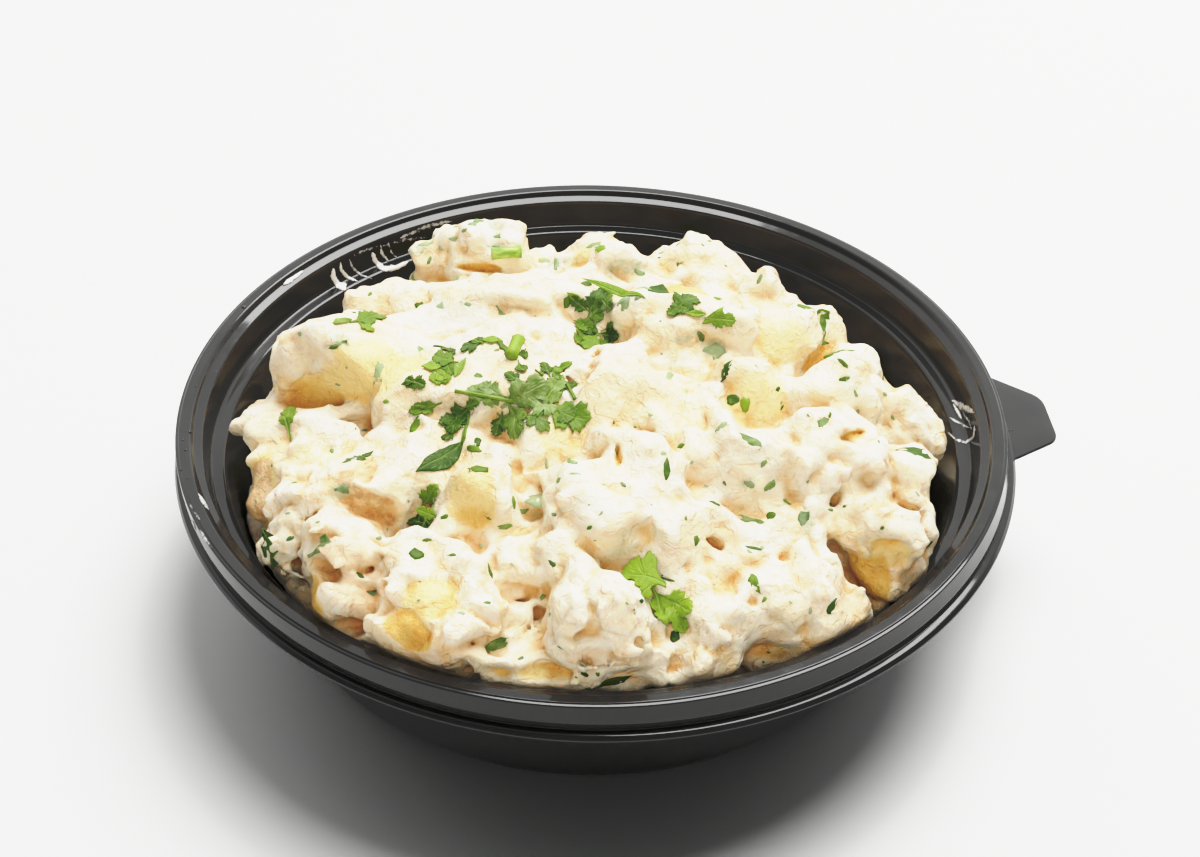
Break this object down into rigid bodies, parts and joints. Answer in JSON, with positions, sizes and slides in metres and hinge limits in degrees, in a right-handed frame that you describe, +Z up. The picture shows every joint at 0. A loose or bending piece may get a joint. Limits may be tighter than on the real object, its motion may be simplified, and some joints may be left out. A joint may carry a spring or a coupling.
{
  "type": "potato salad in takeaway bowl",
  "caption": "Creamy potato salad heaped over the rim of a shallow round black plastic bowl with a stepped rim and a pull tab, with chopped parsley on top.",
  "frame": {"origin": "centre of the bowl's flat base, on the surface it stands on", "axes": "+Z up, +X out through the middle of the pull tab, +Y to the left seen from the tab"},
  "size_m": [0.205, 0.1938, 0.0746],
  "materials": {
    "black_plastic": "glossy black formed plastic sheet",
    "dressed_potato": "soft cream dressing over pale yellow potato, moist sheen",
    "parsley_leaf": "fresh green leaf, soft sheen",
    "parsley_stalk": "pale green cut stalk, moist"
  },
  "bodies": {
    "root": {"bowl": "black_plastic", "potato_salad": "dressed_potato", "parsley_front": "parsley_leaf", "parsley_centre": "parsley_leaf", "parsley_centre_small": "parsley_leaf", "parsley_left_upper": "parsley_leaf", "parsley_stemmed": "parsley_leaf", "parsley_left_blade": "parsley_leaf", "parsley_left_lower": "parsley_leaf", "parsley_dark_blade": "parsley_leaf", "parsley_bow": "parsley_leaf", "parsley_left_far": "parsley_leaf", "parsley_left_edge": "parsley_leaf", "parsley_stem": "parsley_stalk", "parsley_back_blade": "parsley_leaf", "parsley_back_upper": "parsley_leaf", "parsley_back_lower": "parsley_leaf", "parsley_right_upper": "parsley_leaf", "parsley_right_wing": "parsley_leaf"}
  },
  "joints": []
}
